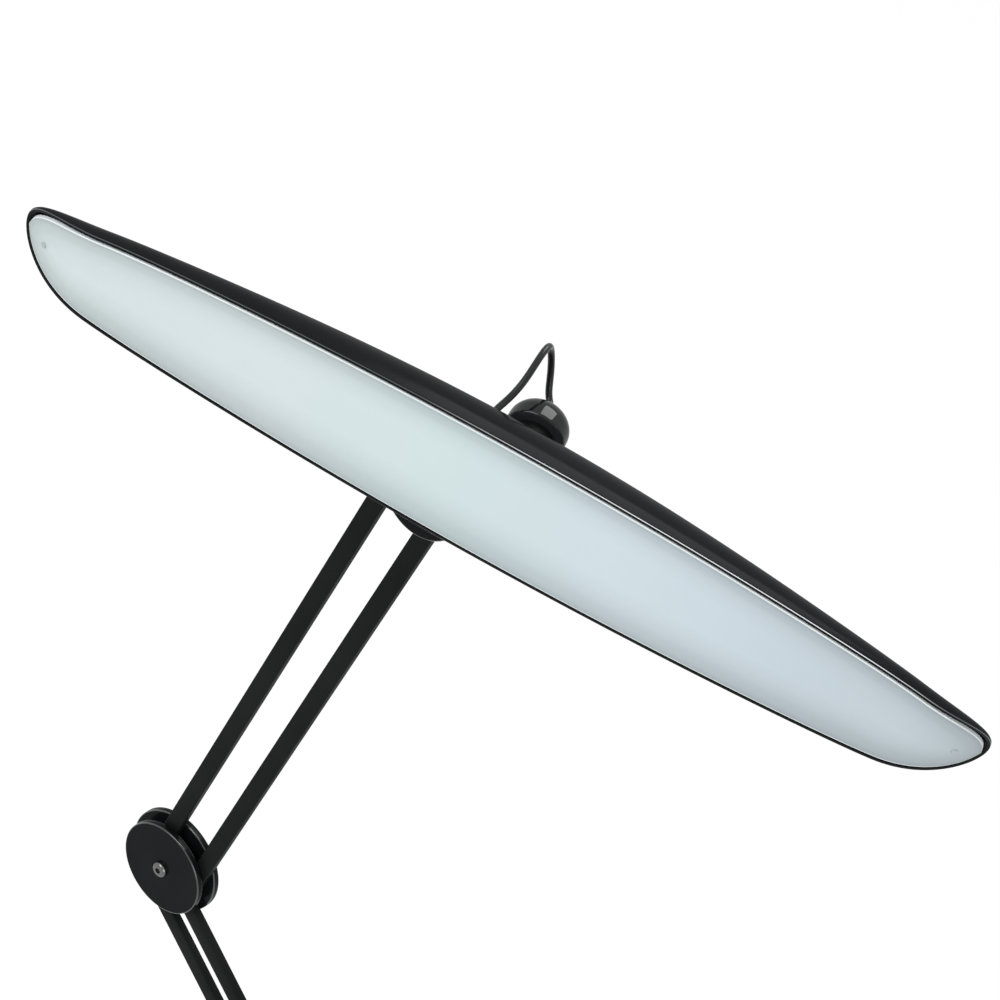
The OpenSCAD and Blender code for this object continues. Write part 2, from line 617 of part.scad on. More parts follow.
clamp_body();
jaw_pad();
socket_bush();
pressure_plate();
plate_pad();
clamp_screw();
clamp_knob();
base_floor();
base_housing();
base_block();
base_disc_front();
base_disc_back();
base_pins();
dc_inlet();
dimmer_board();
switch_button();
lower_bar_a();
lower_bushes_a();
lower_plugs_a();
lower_bar_b();
lower_bushes_b();
lower_plugs_b();
elbow_disc_front();
elbow_disc_back();
elbow_pins();
elbow_sleeve();
elbow_screw();
elbow_nut();
upper_bar_a();
upper_bushes_a();
upper_plugs_a();
upper_bar_b();
upper_bushes_b();
upper_plugs_b();
top_disc_front();
top_disc_back();
top_pins();
top_screw();
top_nut();
neck_hub();
neck();
stem();
stem_nut();
dome_plate();
dome();
head_shell();
diffuser();
tip_screws();
tip_posts();
led_tray();
tray_posts();
led_boards();
led_chips();
driver_box();
lead_grommet();
head_lead();
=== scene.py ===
# %% [markdown]
# # A clip-on work lamp
# The lamp is a long boat-shaped light head on an arm of flat tube, with round plates at its joints and a
# screw clamp at its foot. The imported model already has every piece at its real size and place. This lesson
# gives those pieces their looks: smoother shapes where an edge or a curve shows, and a finish for each one.

# %% Load the model
import json
import math

import bpy
from mathutils import Matrix, Vector
from mathutils.kdtree import KDTree


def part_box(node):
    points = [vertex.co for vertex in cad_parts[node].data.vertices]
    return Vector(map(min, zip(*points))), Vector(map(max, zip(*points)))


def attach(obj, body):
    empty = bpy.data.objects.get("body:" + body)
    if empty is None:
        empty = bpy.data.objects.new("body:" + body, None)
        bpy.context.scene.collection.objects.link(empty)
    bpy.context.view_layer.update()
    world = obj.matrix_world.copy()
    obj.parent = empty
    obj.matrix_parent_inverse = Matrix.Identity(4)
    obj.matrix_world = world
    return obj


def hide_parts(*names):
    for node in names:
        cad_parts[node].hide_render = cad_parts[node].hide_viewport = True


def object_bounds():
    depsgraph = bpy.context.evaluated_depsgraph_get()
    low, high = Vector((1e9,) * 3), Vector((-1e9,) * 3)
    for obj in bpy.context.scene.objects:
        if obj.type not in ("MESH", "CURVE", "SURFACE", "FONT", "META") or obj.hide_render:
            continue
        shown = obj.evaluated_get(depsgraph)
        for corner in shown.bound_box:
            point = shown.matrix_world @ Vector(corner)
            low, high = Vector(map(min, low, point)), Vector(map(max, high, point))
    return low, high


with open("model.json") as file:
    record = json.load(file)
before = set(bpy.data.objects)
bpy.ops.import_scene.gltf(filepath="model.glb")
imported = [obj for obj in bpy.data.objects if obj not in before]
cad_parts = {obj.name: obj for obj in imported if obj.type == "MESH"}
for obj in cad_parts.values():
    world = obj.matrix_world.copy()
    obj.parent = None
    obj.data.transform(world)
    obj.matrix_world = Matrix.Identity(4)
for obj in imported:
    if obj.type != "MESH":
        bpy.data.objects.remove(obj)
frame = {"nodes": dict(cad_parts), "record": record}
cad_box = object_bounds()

mm = 0.001
scene = bpy.context.scene
joints = {joint["name"]: joint for joint in frame["record"]["behaviour"]["joints"]}
bpy.ops.object.select_all(action="DESELECT")

# %% [markdown]
# ## The camera
# The camera comes first, because everything is judged through it. It stands above and in front of the lamp
# and is rolled to one side, so the level head runs down across the picture.

# %% Camera
azimuth, elevation, roll = (math.radians(angle) for angle in (21.52, 38.46, 28.20))
level = Vector((math.cos(azimuth), math.sin(azimuth), 0))
backward = Vector((
    math.sin(azimuth) * math.cos(elevation),
    -math.cos(azimuth) * math.cos(elevation),
    math.sin(elevation),
))
rightward = math.cos(roll) * level + math.sin(roll) * backward.cross(level)

bpy.ops.object.camera_add()
camera = bpy.context.object
camera.name = "photo_camera"
camera.data.lens = 72
camera.data.sensor_width = 36
camera.matrix_world = Matrix((rightward, backward.cross(rightward), backward)).transposed().to_4x4()
camera.matrix_world.translation = (0.0500, -0.8032, 1.4745)
scene.camera = camera
print("camera at", [round(c, 3) for c in camera.matrix_world.translation])

# %% [markdown]
# ## The head's own directions
# The head hangs askew in space, so its pieces are modelled in their own frame and then put in place: x runs
# along the head, y across it and z out of the diffuser. Two joint axes and the turn on the stem give the
# frame. Three short functions then say how wide the head is at a place along it, and where its rim and its
# back lie there.

# %% Head frame
head_turn = math.radians(27)
neck_axis = Vector(joints["neck_swivel"]["axis"]).normalized()
light_axis = Vector(joints["head_turn"]["axis"]).normalized()
knuckle = Vector(joints["head_turn"]["pos_m"])
long_axis = math.cos(head_turn) * neck_axis.cross(light_axis) + math.sin(head_turn) * neck_axis
head_frame = Matrix((long_axis, light_axis.cross(long_axis), light_axis)).transposed().to_4x4()
head_frame.translation = knuckle

head_half = 289.5 * mm
head_width = 93.5 * mm
side_radius = 2200 * mm
hull_depth, tip_depth = 42.5 * mm, 18.2 * mm
tip_rise, tip_run = 15.8 * mm, 49 * mm
tip_power, bow_power = 15, 1.6
rim_band = 2.8 * mm
rim_plane = 49.6 * mm
dome_face, dome_radius = -5.6 * mm, 17.75 * mm
dome_height, dome_cap = 21.5 * mm, 14.5 * mm


def half_width(x):
    tip = max(0.0, 1 - (abs(x) / head_half) ** tip_power)
    return (head_width / 2 - x * x / 2 / side_radius) * math.sqrt(tip)


def rim_height(x):
    return rim_plane - tip_rise * max(0.0, (abs(x) - head_half + tip_run) / tip_run) ** 2


def back_height(x):
    bow = max(0.0, 1 - (x / head_half) ** 2) ** bow_power
    return rim_plane - tip_depth - (hull_depth - tip_depth) * bow


print("head axis", [round(c, 3) for c in long_axis])

# %% [markdown]
# ## The lead
# A thin limp lead leaves the top of the dome, makes one loop and goes into the back of the hull. Its route is
# a short list of points in the head's frame, and a spline with them as its control points is the cable's
# line. One more point past each end makes the spline start and stop exactly on the first and the last point.
# Every point carries the cable's radius.

# %% Lead
lead_diameter = 4 * mm
start_gap, start_step = 0.15 * mm, 0.5 * lead_diameter
entry_gap, entry_step = 0.7 * mm, 0.7 * lead_diameter
lead_start = dome_face - dome_height
entry_x, entry_y = -24 * mm, 13 * mm
entry_lean = entry_y / half_width(entry_x)
entry_depth = rim_plane - back_height(entry_x)
entry_z = rim_plane - entry_depth * math.sqrt(1 - entry_lean ** 2)
entry_angle = math.atan(entry_depth / half_width(entry_x) * entry_lean / math.sqrt(1 - entry_lean ** 2))
entry = Vector((entry_x, entry_y, entry_z))
entry_out = Vector((0, math.sin(entry_angle), -math.cos(entry_angle)))

lead_loop = [
    (-1, 0, -7), (-4.5, 2, -10.5), (-9, 13, -16.5), (-14.5, 24.5, -19.5),
    (-16.5, 32, -14.5), (-17.5, 30.5, -3), (-18, 23.5, 11.5), (-21, 16.5, 21.5),
]
lead_points = [Vector((0, 0, lead_start - start_gap - start_step * step)) for step in range(3)]
lead_points += [Vector((x * mm, y * mm, lead_start + z * mm)) for x, y, z in lead_loop]
lead_points += [entry + entry_out * (entry_gap + entry_step * step) for step in (2, 1, 0)]
before = 2 * lead_points[0] - lead_points[1]
after = 2 * lead_points[-1] - lead_points[-2]
controls = [before, *lead_points, after]

lead_line = bpy.data.curves.new("head_lead_cable", "CURVE")
lead_line.dimensions = "3D"
spline = lead_line.splines.new("NURBS")
spline.points.add(len(controls) - 1)
for point, place in zip(spline.points, controls):
    point.co = (*(head_frame @ place), 1)
    point.radius = lead_diameter / 2
spline.order_u = 4
spline.use_endpoint_u = False
spline.resolution_u = 8
lead_line.bevel_depth = 1
lead_line.bevel_resolution = 5
lead_line.use_fill_caps = True
lead = bpy.data.objects.new("head_lead_cable", lead_line)
scene.collection.objects.link(lead)


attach(lead, "head")
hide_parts("head_lead")

# %% [markdown]
# ## Shared effects of the finishes
# Painted and moulded surfaces are never quite even. Three effects come back in the finishes here, so each is
# a node group that is built once: a fine grain, for powder coat and moulded plastic, soft smudges, for the
# way handling changes the gloss, and the share of the way along the head, for the painted light and shade
# that run from tip to tip. They only put out values that vary over the surface.


# %% Node groups
def new_group(name, inputs, outputs):
    group = bpy.data.node_groups.new(name, "ShaderNodeTree")
    for label, value in inputs:
        socket = group.interface.new_socket(label, in_out="INPUT", socket_type="NodeSocketFloat")
        socket.default_value = value
    for label in outputs:
        group.interface.new_socket(label, in_out="OUTPUT", socket_type="NodeSocketFloat")
    return group, group.nodes.new("NodeGroupInput"), group.nodes.new("NodeGroupOutput")


def noise_on(tree, detail, roughness):
    """A noise texture on the object's own coordinates."""
    coordinates = tree.nodes.new("ShaderNodeTexCoord")
    noise = tree.nodes.new("ShaderNodeTexNoise")
    noise.inputs["Detail"].default_value = detail
    noise.inputs["Roughness"].default_value = roughness
    tree.links.new(coordinates.outputs["Object"], noise.inputs["Vector"])
    return noise


def spread_out(tree, value, low, high):
    """Stretches the middle of a value to the whole range from 0 to 1."""
    stretch = tree.nodes.new("ShaderNodeMapRange")
    stretch.inputs["From Min"].default_value = low
    stretch.inputs["From Max"].default_value = high
    tree.links.new(value, stretch.inputs["Value"])
    return stretch.outputs["Result"]


grain_group, grain_in, grain_out = new_group("surface_grain", [("Scale", 1500)], ["Height", "Tone"])
fine = noise_on(grain_group, 3, 0.6)
broad = noise_on(grain_group, 2, 0.5)
broad.inputs["Scale"].default_value = 14
grain_group.links.new(grain_in.outputs["Scale"], fine.inputs["Scale"])
grain_group.links.new(fine.outputs["Fac"], grain_out.inputs["Height"])
grain_group.links.new(spread_out(grain_group, broad.outputs["Fac"], 0.35, 0.65), grain_out.inputs["Tone"])

smudge_group, smudge_in, smudge_out = new_group("handling_smudges", [("Scale", 30)], ["Mask"])
clouds = noise_on(smudge_group, 5, 0.65)
clouds.inputs["Distortion"].default_value = 0.6
smudge_group.links.new(smudge_in.outputs["Scale"], clouds.inputs["Scale"])
smudge_group.links.new(spread_out(smudge_group, clouds.outputs["Fac"], 0.42, 0.68), smudge_out.inputs["Mask"])

wander_width = 0.3
along_group, along_in, along_out = new_group("along_the_head", [("Scale", 7)], ["Share"])
drift = noise_on(along_group, 1, 0.4)
along_group.links.new(along_in.outputs["Scale"], drift.inputs["Scale"])
place = along_group.nodes.new("ShaderNodeTexCoord")
along = along_group.nodes.new("ShaderNodeVectorMath")
along.operation = "DOT_PRODUCT"
along.inputs[1].default_value = long_axis / head_half
along_group.links.new(place.outputs["Object"], along.inputs[0])
wander = along_group.nodes.new("ShaderNodeMath")
wander.operation = "MULTIPLY_ADD"
wander.inputs[1].default_value = wander_width
along_group.links.new(drift.outputs["Fac"], wander.inputs[0])
along_group.links.new(along.outputs["Value"], wander.inputs[2])
middle = long_axis.dot(knuckle) / head_half + wander_width / 2
along_group.links.new(
    spread_out(along_group, wander.outputs["Value"], middle - 1, middle + 1), along_out.inputs["Share"])
print("groups:", grain_group.name, smudge_group.name, along_group.name)

# %% [markdown]
# ## The finishes
# One function makes all the plain finishes from a few facts: two close colours that the broad tone moves
# between, the gloss and how much smudges change it, and the grain's size and depth. What is the same all over
# goes straight onto the shader. Black pieces would get a white glow along their outlines in a white room, so
# their mirroring is taken back where the surface turns away from the eye.


# %% Finish function
def use_group(tree, group, scale):
    node = tree.nodes.new("ShaderNodeGroup")
    node.node_tree = group
    node.inputs["Scale"].default_value = scale
    return node


def new_material(name):
    material = bpy.data.materials.new(name)
    material.use_nodes = True
    return material, material.node_tree, material.node_tree.nodes["Principled BSDF"]


def mix_colours(tree, factor, first, second, blend="MIX"):
    """Each of the three may be a plain value or another node's output."""
    mix = tree.nodes.new("ShaderNodeMix")
    mix.data_type, mix.blend_type = "RGBA", blend
    sockets = {socket.identifier: socket for socket in mix.inputs}
    for label, value in (("Factor_Float", factor), ("A_Color", first), ("B_Color", second)):
        if isinstance(value, bpy.types.NodeSocket):
            tree.links.new(value, sockets[label])
        else:
            sockets[label].default_value = value
    return next(socket for socket in mix.outputs if socket.identifier == "Result_Color")


def add_bump(tree, height, strength, shader):
    bump = tree.nodes.new("ShaderNodeBump")
    bump.inputs["Strength"].default_value = strength
    bump.inputs["Distance"].default_value = 0.1 * mm
    tree.links.new(height, bump.inputs["Height"])
    tree.links.new(bump.outputs["Normal"], shader.inputs["Normal"])


def new_finish(name, colours, gloss, grain, metallic=0.0, coat=0.0, specular=0.5, outline=None):
    """colours: two close colours; gloss: clean and smudged roughness; grain: scale per metre and bump depth;
    outline: the specular level that is left where the surface turns away."""
    finish, tree, shader = new_material(name)
    shader.inputs["Metallic"].default_value = metallic
    shader.inputs["Coat Weight"].default_value = coat
    shader.inputs["Coat Roughness"].default_value = 0.04
    shader.inputs["Specular IOR Level"].default_value = specular
    if outline is not None:
        facing = tree.nodes.new("ShaderNodeLayerWeight")
        calm = tree.nodes.new("ShaderNodeMapRange")
        calm.inputs["From Min"].default_value, calm.inputs["From Max"].default_value = 0.3, 0.85
        calm.inputs["To Min"].default_value, calm.inputs["To Max"].default_value = specular, outline
        tree.links.new(facing.outputs["Facing"], calm.inputs["Value"])
        tree.links.new(calm.outputs["Result"], shader.inputs["Specular IOR Level"])
    surface = use_group(tree, grain_group, grain[0])
    smudges = use_group(tree, smudge_group, 30)
    tint = mix_colours(tree, surface.outputs["Tone"], *((*colour, 1) for colour in colours))
    tree.links.new(tint, shader.inputs["Base Color"])
    sheen = tree.nodes.new("ShaderNodeMapRange")
    sheen.inputs["To Min"].default_value, sheen.inputs["To Max"].default_value = gloss
    tree.links.new(smudges.outputs["Mask"], sheen.inputs["Value"])
    tree.links.new(sheen.outputs["Result"], shader.inputs["Roughness"])
    add_bump(tree, surface.outputs["Height"], grain[1], shader)
    return finish


print("finish function ready")

# %% Plain finishes
gloss_black = new_finish(
    "gloss_black_plastic", ((0.0080, 0.0092, 0.0098), (0.0105, 0.0120, 0.0126)), (0.14, 0.22), (700, 0.02),
    specular=0.03, outline=0.001)
dome_black = new_finish(
    "polished_black_plastic", ((0.0040, 0.0048, 0.0052), (0.0058, 0.0068, 0.0072)), (0.07, 0.14), (700, 0.02),
    specular=0.3, outline=0.03)
# A lighter black for the dome's flat underside: painted light on a face that lies in the hull's shade.
underside_painted_light = new_finish(
    "dome_underside_painted_light", ((0.026, 0.029, 0.031), (0.032, 0.035, 0.037)), (0.30, 0.40), (1500, 0.06),
    specular=0.3)
enamel_black = new_finish(
    "black_enamel", ((0.0045, 0.0054, 0.0058), (0.0068, 0.0078, 0.0082)), (0.16, 0.27), (1600, 0.05),
    specular=0.05, outline=0.012)
enamel_edge = new_finish(
    "black_enamel_edge", ((0.008, 0.009, 0.0095), (0.012, 0.013, 0.0135)), (0.10, 0.18), (1600, 0.03),
    coat=0.6, specular=0.6)
powder_black = new_finish(
    "satin_powder_coat", ((0.0056, 0.0064, 0.0062), (0.0082, 0.0090, 0.0088)), (0.40, 0.50), (2600, 0.14),
    specular=0.06, outline=0.015)
cable_black = new_finish(
    "black_cable", ((0.007, 0.0075, 0.008), (0.010, 0.0105, 0.011)), (0.24, 0.36), (1800, 0.06), specular=0.3)
moulded_black = new_finish(
    "moulded_black_plastic", ((0.008, 0.008, 0.0084), (0.012, 0.012, 0.0125)), (0.45, 0.58), (2000, 0.18),
    specular=0.2)
rubber_black = new_finish(
    "black_rubber", ((0.007, 0.007, 0.0072), (0.010, 0.010, 0.0104)), (0.38, 0.55), (1800, 0.1),
    specular=0.15)
dark_nylon = new_finish(
    "dark_nylon", ((0.05, 0.05, 0.052), (0.065, 0.065, 0.068)), (0.4, 0.5), (1500, 0.08))
turned_steel = new_finish(
    "turned_steel", ((0.50, 0.51, 0.52), (0.58, 0.585, 0.59)), (0.24, 0.36), (2400, 0.1), metallic=1.0)
bright_steel = new_finish(
    "bright_plated_steel", ((0.13, 0.135, 0.128), (0.19, 0.19, 0.182)), (0.10, 0.20), (1200, 0.04),
    metallic=1.0)
plain_aluminium = new_finish(
    "plain_aluminium", ((0.70, 0.71, 0.72), (0.76, 0.77, 0.78)), (0.32, 0.44), (1800, 0.08), metallic=1.0)
white_plastic = new_finish(
    "white_plastic", ((0.76, 0.77, 0.76), (0.81, 0.82, 0.81)), (0.35, 0.45), (1200, 0.05))
painted_grey = new_finish(
    "grey_painted_screw", ((0.40, 0.45, 0.45), (0.45, 0.50, 0.50)), (0.4, 0.5), (1500, 0.05), specular=0.2)
board_green = new_finish(
    "circuit_board", ((0.012, 0.09, 0.04), (0.02, 0.13, 0.06)), (0.3, 0.4), (900, 0.06))
lead_line.materials.append(cable_black)
print(len(bpy.data.materials), "materials so far")

# %% [markdown]
# ## Two finishes that change over the head
# The milky plastic of the unlit lamp is painted with the light and shade it shows here: it is a little
# green-grey toward one tip, bluer and darker toward the other, a painted shading along the head, and it grows
# darker toward its border, a painted shade, because the dark hull lies close behind it there. Its narrow
# sloping edge is painted nearly white, a painted glow where light leaks in from the side. The colours come
# from the share along the head, and two attributes of the mesh tell where the edge is and how far in from it
# a place lies. The rim's outer edge gets a painted highlight, a bright line that is stronger on one half of
# the head.


# %% Milky plastic and rim edge
def colour_ramp(tree, value, stops):
    """A colour that follows a value through a list of positions and colours."""
    ramp = tree.nodes.new("ShaderNodeValToRGB")
    first, last = ramp.color_ramp.elements
    first.position, first.color = stops[0][0], (*stops[0][1], 1)
    last.position, last.color = stops[-1][0], (*stops[-1][1], 1)
    for position, colour in stops[1:-1]:
        ramp.color_ramp.elements.new(position).color = (*colour, 1)
    tree.links.new(value, ramp.inputs["Fac"])
    return ramp.outputs["Color"]


def mesh_value(tree, name):
    attribute = tree.nodes.new("ShaderNodeAttribute")
    attribute.attribute_name = name
    return attribute.outputs["Fac"]


milky_plastic, milk, milk_shader = new_material("milky_diffuser_plastic")
milk_shader.inputs["Roughness"].default_value = 0.34
milk_shader.inputs["Specular IOR Level"].default_value = 0.3
# Painted shading along the head: lighter and greener at one tip, darker and bluer at the other.
body_colour_and_shade = colour_ramp(milk, use_group(milk, along_group, 7).outputs["Share"], [
    (0, (0.60, 0.685, 0.69)), (0.26, (0.622, 0.70, 0.72)), (0.44, (0.585, 0.693, 0.70)),
    (0.62, (0.577, 0.664, 0.708)), (0.81, (0.52, 0.595, 0.644)), (1, (0.47, 0.545, 0.58)),
])
# Painted shade: darker toward the border, where the dark hull lies close behind the plate.
painted_border_shade = colour_ramp(milk, mesh_value(milk, "inset"), [
    (place, (shade, shade, shade)) for place, shade in (
        (0.03, 0.63), (0.07, 0.68), (0.12, 0.745), (0.24, 0.80), (0.36, 0.88), (0.57, 0.95), (0.9, 1))
])
shaded = mix_colours(milk, 1, body_colour_and_shade, painted_border_shade, "MULTIPLY")
# Painted glow: the sloping edge rows are mixed toward near white.
painted_edge_glow = spread_out(milk, mesh_value(milk, "edge"), 0.3, 0.8)
milk.links.new(mix_colours(milk, painted_edge_glow, shaded, (0.72, 0.77, 0.78, 1)), milk_shader.inputs["Base Color"])
ripple = noise_on(milk, 2, 0.5)
ripple.inputs["Scale"].default_value = 900
add_bump(milk, ripple.outputs["Fac"], 0.04, milk_shader)

# Painted highlight on the rim's outer bevel: a mirror colour that is bright on one half of the head and dark
# on the rest.
rim_highlight, rim_tree, rim_shader = new_material("painted_rim_highlight")
rim_shader.inputs["Metallic"].default_value = 1
rim_shader.inputs["Roughness"].default_value = 0.2
painted_rim_highlight_colour = colour_ramp(rim_tree, use_group(rim_tree, along_group, 7).outputs["Share"], [
    (0, (0.12, 0.13, 0.135)), (0.4, (0.12, 0.13, 0.135)), (0.55, (0.72, 0.74, 0.75)),
    (0.86, (0.90, 0.92, 0.93)), (0.94, (0.14, 0.15, 0.155)),
])
rim_tree.links.new(painted_rim_highlight_colour, rim_shader.inputs["Base Color"])
print("finishes:", milky_plastic.name, rim_highlight.name)

# %% [markdown]
# ## Small tools for modelling
# Most pieces start from a primitive, are shaped in edit mode and are then laid into the lamp. These helpers
# keep the steps short: pick faces or edges by a test, put a finished shape in its place with its place in the
# mesh, and dress it with its finish, its body and the node that it stands for.


# %% Modelling helpers
hair = 0.01 * mm
merge_within = 0.002 * mm
squarely, many_sides = 0.99, 20


def close_edit():
    bpy.ops.object.mode_set(mode="OBJECT")


def take_up(piece):
    """Makes the piece the only selected one, and the active one."""
    if bpy.context.mode != "OBJECT":
        close_edit()
    bpy.ops.object.select_all(action="DESELECT")
    piece.select_set(True)
    bpy.context.view_layer.objects.active = piece


def name_new(name):
    piece = bpy.context.object
    piece.name = piece.data.name = name
    take_up(piece)
    return piece


def open_all(piece):
    """Goes into edit mode with the whole mesh selected."""
    take_up(piece)
    bpy.ops.object.mode_set(mode="EDIT")
    bpy.ops.mesh.select_all(action="SELECT")


def pick(piece, kind, test):
    """Goes into edit mode with only the faces or edges selected that pass the test."""
    take_up(piece)
    bpy.ops.object.mode_set(mode="EDIT")
    bpy.ops.mesh.select_mode(type=kind)
    bpy.ops.mesh.select_all(action="DESELECT")
    close_edit()
    for part in {"EDGE": piece.data.edges, "FACE": piece.data.polygons}[kind]:
        part.select = test(part)
    bpy.ops.object.mode_set(mode="EDIT")


def edge_ends(piece, edge):
    return [piece.data.vertices[index].co for index in edge.vertices]


def is_level(piece, edge):
    first, second = edge_ends(piece, edge)
    return abs(first.z - second.z) < hair


def box_middle(low, high):
    return Vector([(a + b) / 2 for a, b in zip(low, high)])


def apply_modifier(piece, kind, **settings):
    take_up(piece)
    modifier = piece.modifiers.new(kind.lower(), kind)
    for key, value in settings.items():
        setattr(modifier, key, value)
    bpy.ops.object.modifier_apply(modifier=modifier.name)


def lay_in(piece, frame_matrix):
    """Puts a shape that was modelled round the origin into the lamp, with its place in its mesh."""
    take_up(piece)
    piece.matrix_world = frame_matrix @ piece.matrix_world
    bpy.ops.object.transform_apply(location=True, rotation=True, scale=True)


def face_out(piece):
    open_all(piece)
    bpy.ops.mesh.remove_doubles(threshold=merge_within)
    bpy.ops.mesh.normals_make_consistent(inside=False)
    close_edit()


def turn_over(piece):
    """Turns the faces of an open sheet to its other side."""
    open_all(piece)
    bpy.ops.mesh.flip_normals()
    close_edit()


def dress(piece, body, finish, slot, *nodes, smooth=35):
    take_up(piece)
    bpy.ops.object.shade_smooth_by_angle(angle=math.radians(smooth))
    if not piece.data.materials:
        piece.data.materials.append(finish)
    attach(piece, body)
    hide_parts(*nodes)


print("helpers ready")

# %% [markdown]
# ## The hull
# The hull is a thin moulded shell. A grid is the natural start: its length becomes the length of the head,
# and its rows wrap round from one edge of the rim over the back to the other edge. The rows nearest the rim
# make a small step. Solidify then gives the shell its wall, and a narrow bevel on the rim's outer edge, with
# a finish of its own, carries a painted highlight: the bright line that runs along the rim.

# %% Hull
hull_wall = 2 * mm
lip_height, lip_step = 2 * mm, 0.5 * mm
lip_rows = (0, 0.8, 1)
rim_bevel, rim_slack = 0.32 * mm, 0.03 * mm
tip_merge = 0.02 * mm
stations, wraps = 200, 64


def hull_place(share, row):
    """share runs from -1 to 1 along the head, row from 0 to wraps over the back."""
    x = head_half * math.sin(math.pi / 2 * share)
    width, rim = half_width(x), rim_height(x)
    depth = rim - back_height(x)
    lip = min(lip_height, 0.5 * depth)
    inner = width - min(lip_step, 0.1 * width)
    side = 1 if row <= wraps / 2 else -1
    near = min(row, wraps - row)
    last = len(lip_rows) - 1
    if near <= last:
        return Vector((x, side * (inner if near == last else width), rim - lip * lip_rows[near]))
    angle = math.pi * (row - last) / (wraps - 2 * last)
    return Vector((x, inner * math.cos(angle), rim - lip - (depth - lip) * math.sin(angle)))


bpy.ops.mesh.primitive_grid_add(x_subdivisions=stations, y_subdivisions=wraps, size=2)
hull = name_new("head_shell_skin")
for vertex in hull.data.vertices:
    vertex.co = hull_place(vertex.co.x, round((vertex.co.y + 1) / 2 * wraps))
open_all(hull)
bpy.ops.mesh.remove_doubles(threshold=tip_merge)
close_edit()
middle_face = min(hull.data.polygons, key=lambda face: face.center.z + abs(face.center.x))
if middle_face.normal.z > 0:
    turn_over(hull)
apply_modifier(hull, "SOLIDIFY", thickness=hull_wall, offset=-1)
hull.data.materials.append(gloss_black)
hull.data.materials.append(rim_highlight)


def on_rim(place):
    across = abs(abs(place.y) - half_width(place.x))
    return across < rim_slack and abs(place.z - rim_height(place.x)) < rim_slack


# This bevel gets the painted rim highlight.
pick(hull, "EDGE", lambda edge: all(on_rim(end) for end in edge_ends(hull, edge)))
bpy.ops.mesh.bevel(offset=rim_bevel, segments=2, affect="EDGES", material=1)
close_edit()
lay_in(hull, head_frame)
dress(hull, "head", gloss_black, "gloss_black", "head_shell")
print("hull:", len(hull.data.polygons), "faces")

# %% [markdown]
# ## The diffuser
# The diffuser is a bent plate that lies in the rim and stands a hair out of it. It is a grid again, with the
# outermost rows turned down for its narrow sloping edge, and a very slight crown, as a moulded plate has. The
# two attributes for its painted light and shade are set with its places. The painted shade of the border
# reaches twice as far in from the lower side as from the upper one.

# %% Diffuser
plate_proud, plate_recess = 0.5 * mm, 2 * mm
plate_wall, plate_gap = 1 * mm, 0.15 * mm
edge_slope, plate_crown = 0.9 * mm, 0.5 * mm
edge_in = (0, 0, 0.35, 1, 1.6)
edge_up = (0.1 * mm - plate_recess, 0, 0.3 * mm, plate_proud, plate_proud)
narrowest, full_crown = 0.05 * mm, 20 * mm
border_depth, border_run = 24 * mm, 30 * mm
plate_rows = 26
plate_half = head_half - rim_band - plate_gap


def plate_place(share, row):
    """share runs from -1 to 1 along the plate, row from 0 to plate_rows across it."""
    x = plate_half * math.sin(math.pi / 2 * share)
    inside = half_width(abs(x) * head_half / (head_half - rim_band)) - rim_band - plate_gap
    width = max(narrowest, inside)
    slope = min(edge_slope, 0.6 * width)
    side = 1 if row <= plate_rows / 2 else -1
    near = min(row, plate_rows - row)
    rim = rim_height(x)
    last = len(edge_in) - 1
    if near <= last:
        return Vector((x, side * (width - slope * edge_in[near]), rim + edge_up[near]))
    across = 1 - 2 * (row - last) / (plate_rows - 2 * last)
    crown = plate_crown * (1 - across ** 2) * min(1.0, width / full_crown)
    return Vector((x, across * (width - edge_in[-1] * slope), rim + plate_proud + crown))


bpy.ops.mesh.primitive_grid_add(x_subdivisions=stations, y_subdivisions=plate_rows, size=2)
diffuser = name_new("diffuser_plate")
for name in ("edge", "inset"):
    diffuser.data.attributes.new(name, "FLOAT", "POINT")
outline_steps = 2400
outline = KDTree(2 * outline_steps)
for step in range(outline_steps):
    for row in (1, plate_rows - 1):
        place = plate_place(2 * step / (outline_steps - 1) - 1, row)
        outline.insert((place.x, place.y, 0), step)
outline.balance()
for vertex in diffuser.data.vertices:
    row = round((vertex.co.y + 1) / 2 * plate_rows)
    vertex.co = plate_place(vertex.co.x, row)
    # The inset sets how far the painted border shade reaches, and the edge rows get the painted glow.
    inset = outline.find((vertex.co.x, vertex.co.y, 0))[2]
    reach = 0.75 + 0.25 * math.sin(math.pi / 2 * max(-1, min(1, vertex.co.y / border_run)))
    diffuser.data.attributes["inset"].data[vertex.index].value = min(1, inset * reach / border_depth)
    glow_rows = 3 if row <= plate_rows / 2 else 4
    diffuser.data.attributes["edge"].data[vertex.index].value = min(row, plate_rows - row) < glow_rows
if diffuser.data.polygons[len(diffuser.data.polygons) // 2].normal.z < 0:
    turn_over(diffuser)
apply_modifier(diffuser, "SOLIDIFY", thickness=plate_wall, offset=-1)
lay_in(diffuser, head_frame)
dress(diffuser, "head", milky_plastic, "diffuser_white", "diffuser", smooth=30)
print("diffuser:", len(diffuser.data.polygons), "faces")

# %% [markdown]
# ## The dome
# The dome behind the hull is a round cap with a flat underside. Half a sphere is the start: the sphere is cut
# with bisect, which also closes the flat side, and that side is drawn out to a short straight wall with a
# softened edge. Then the round top is squashed to its height. The flat underside gets a material of its own,
# a satin black that is lighter than the cap: painted light on a face that lies in the hull's shade.

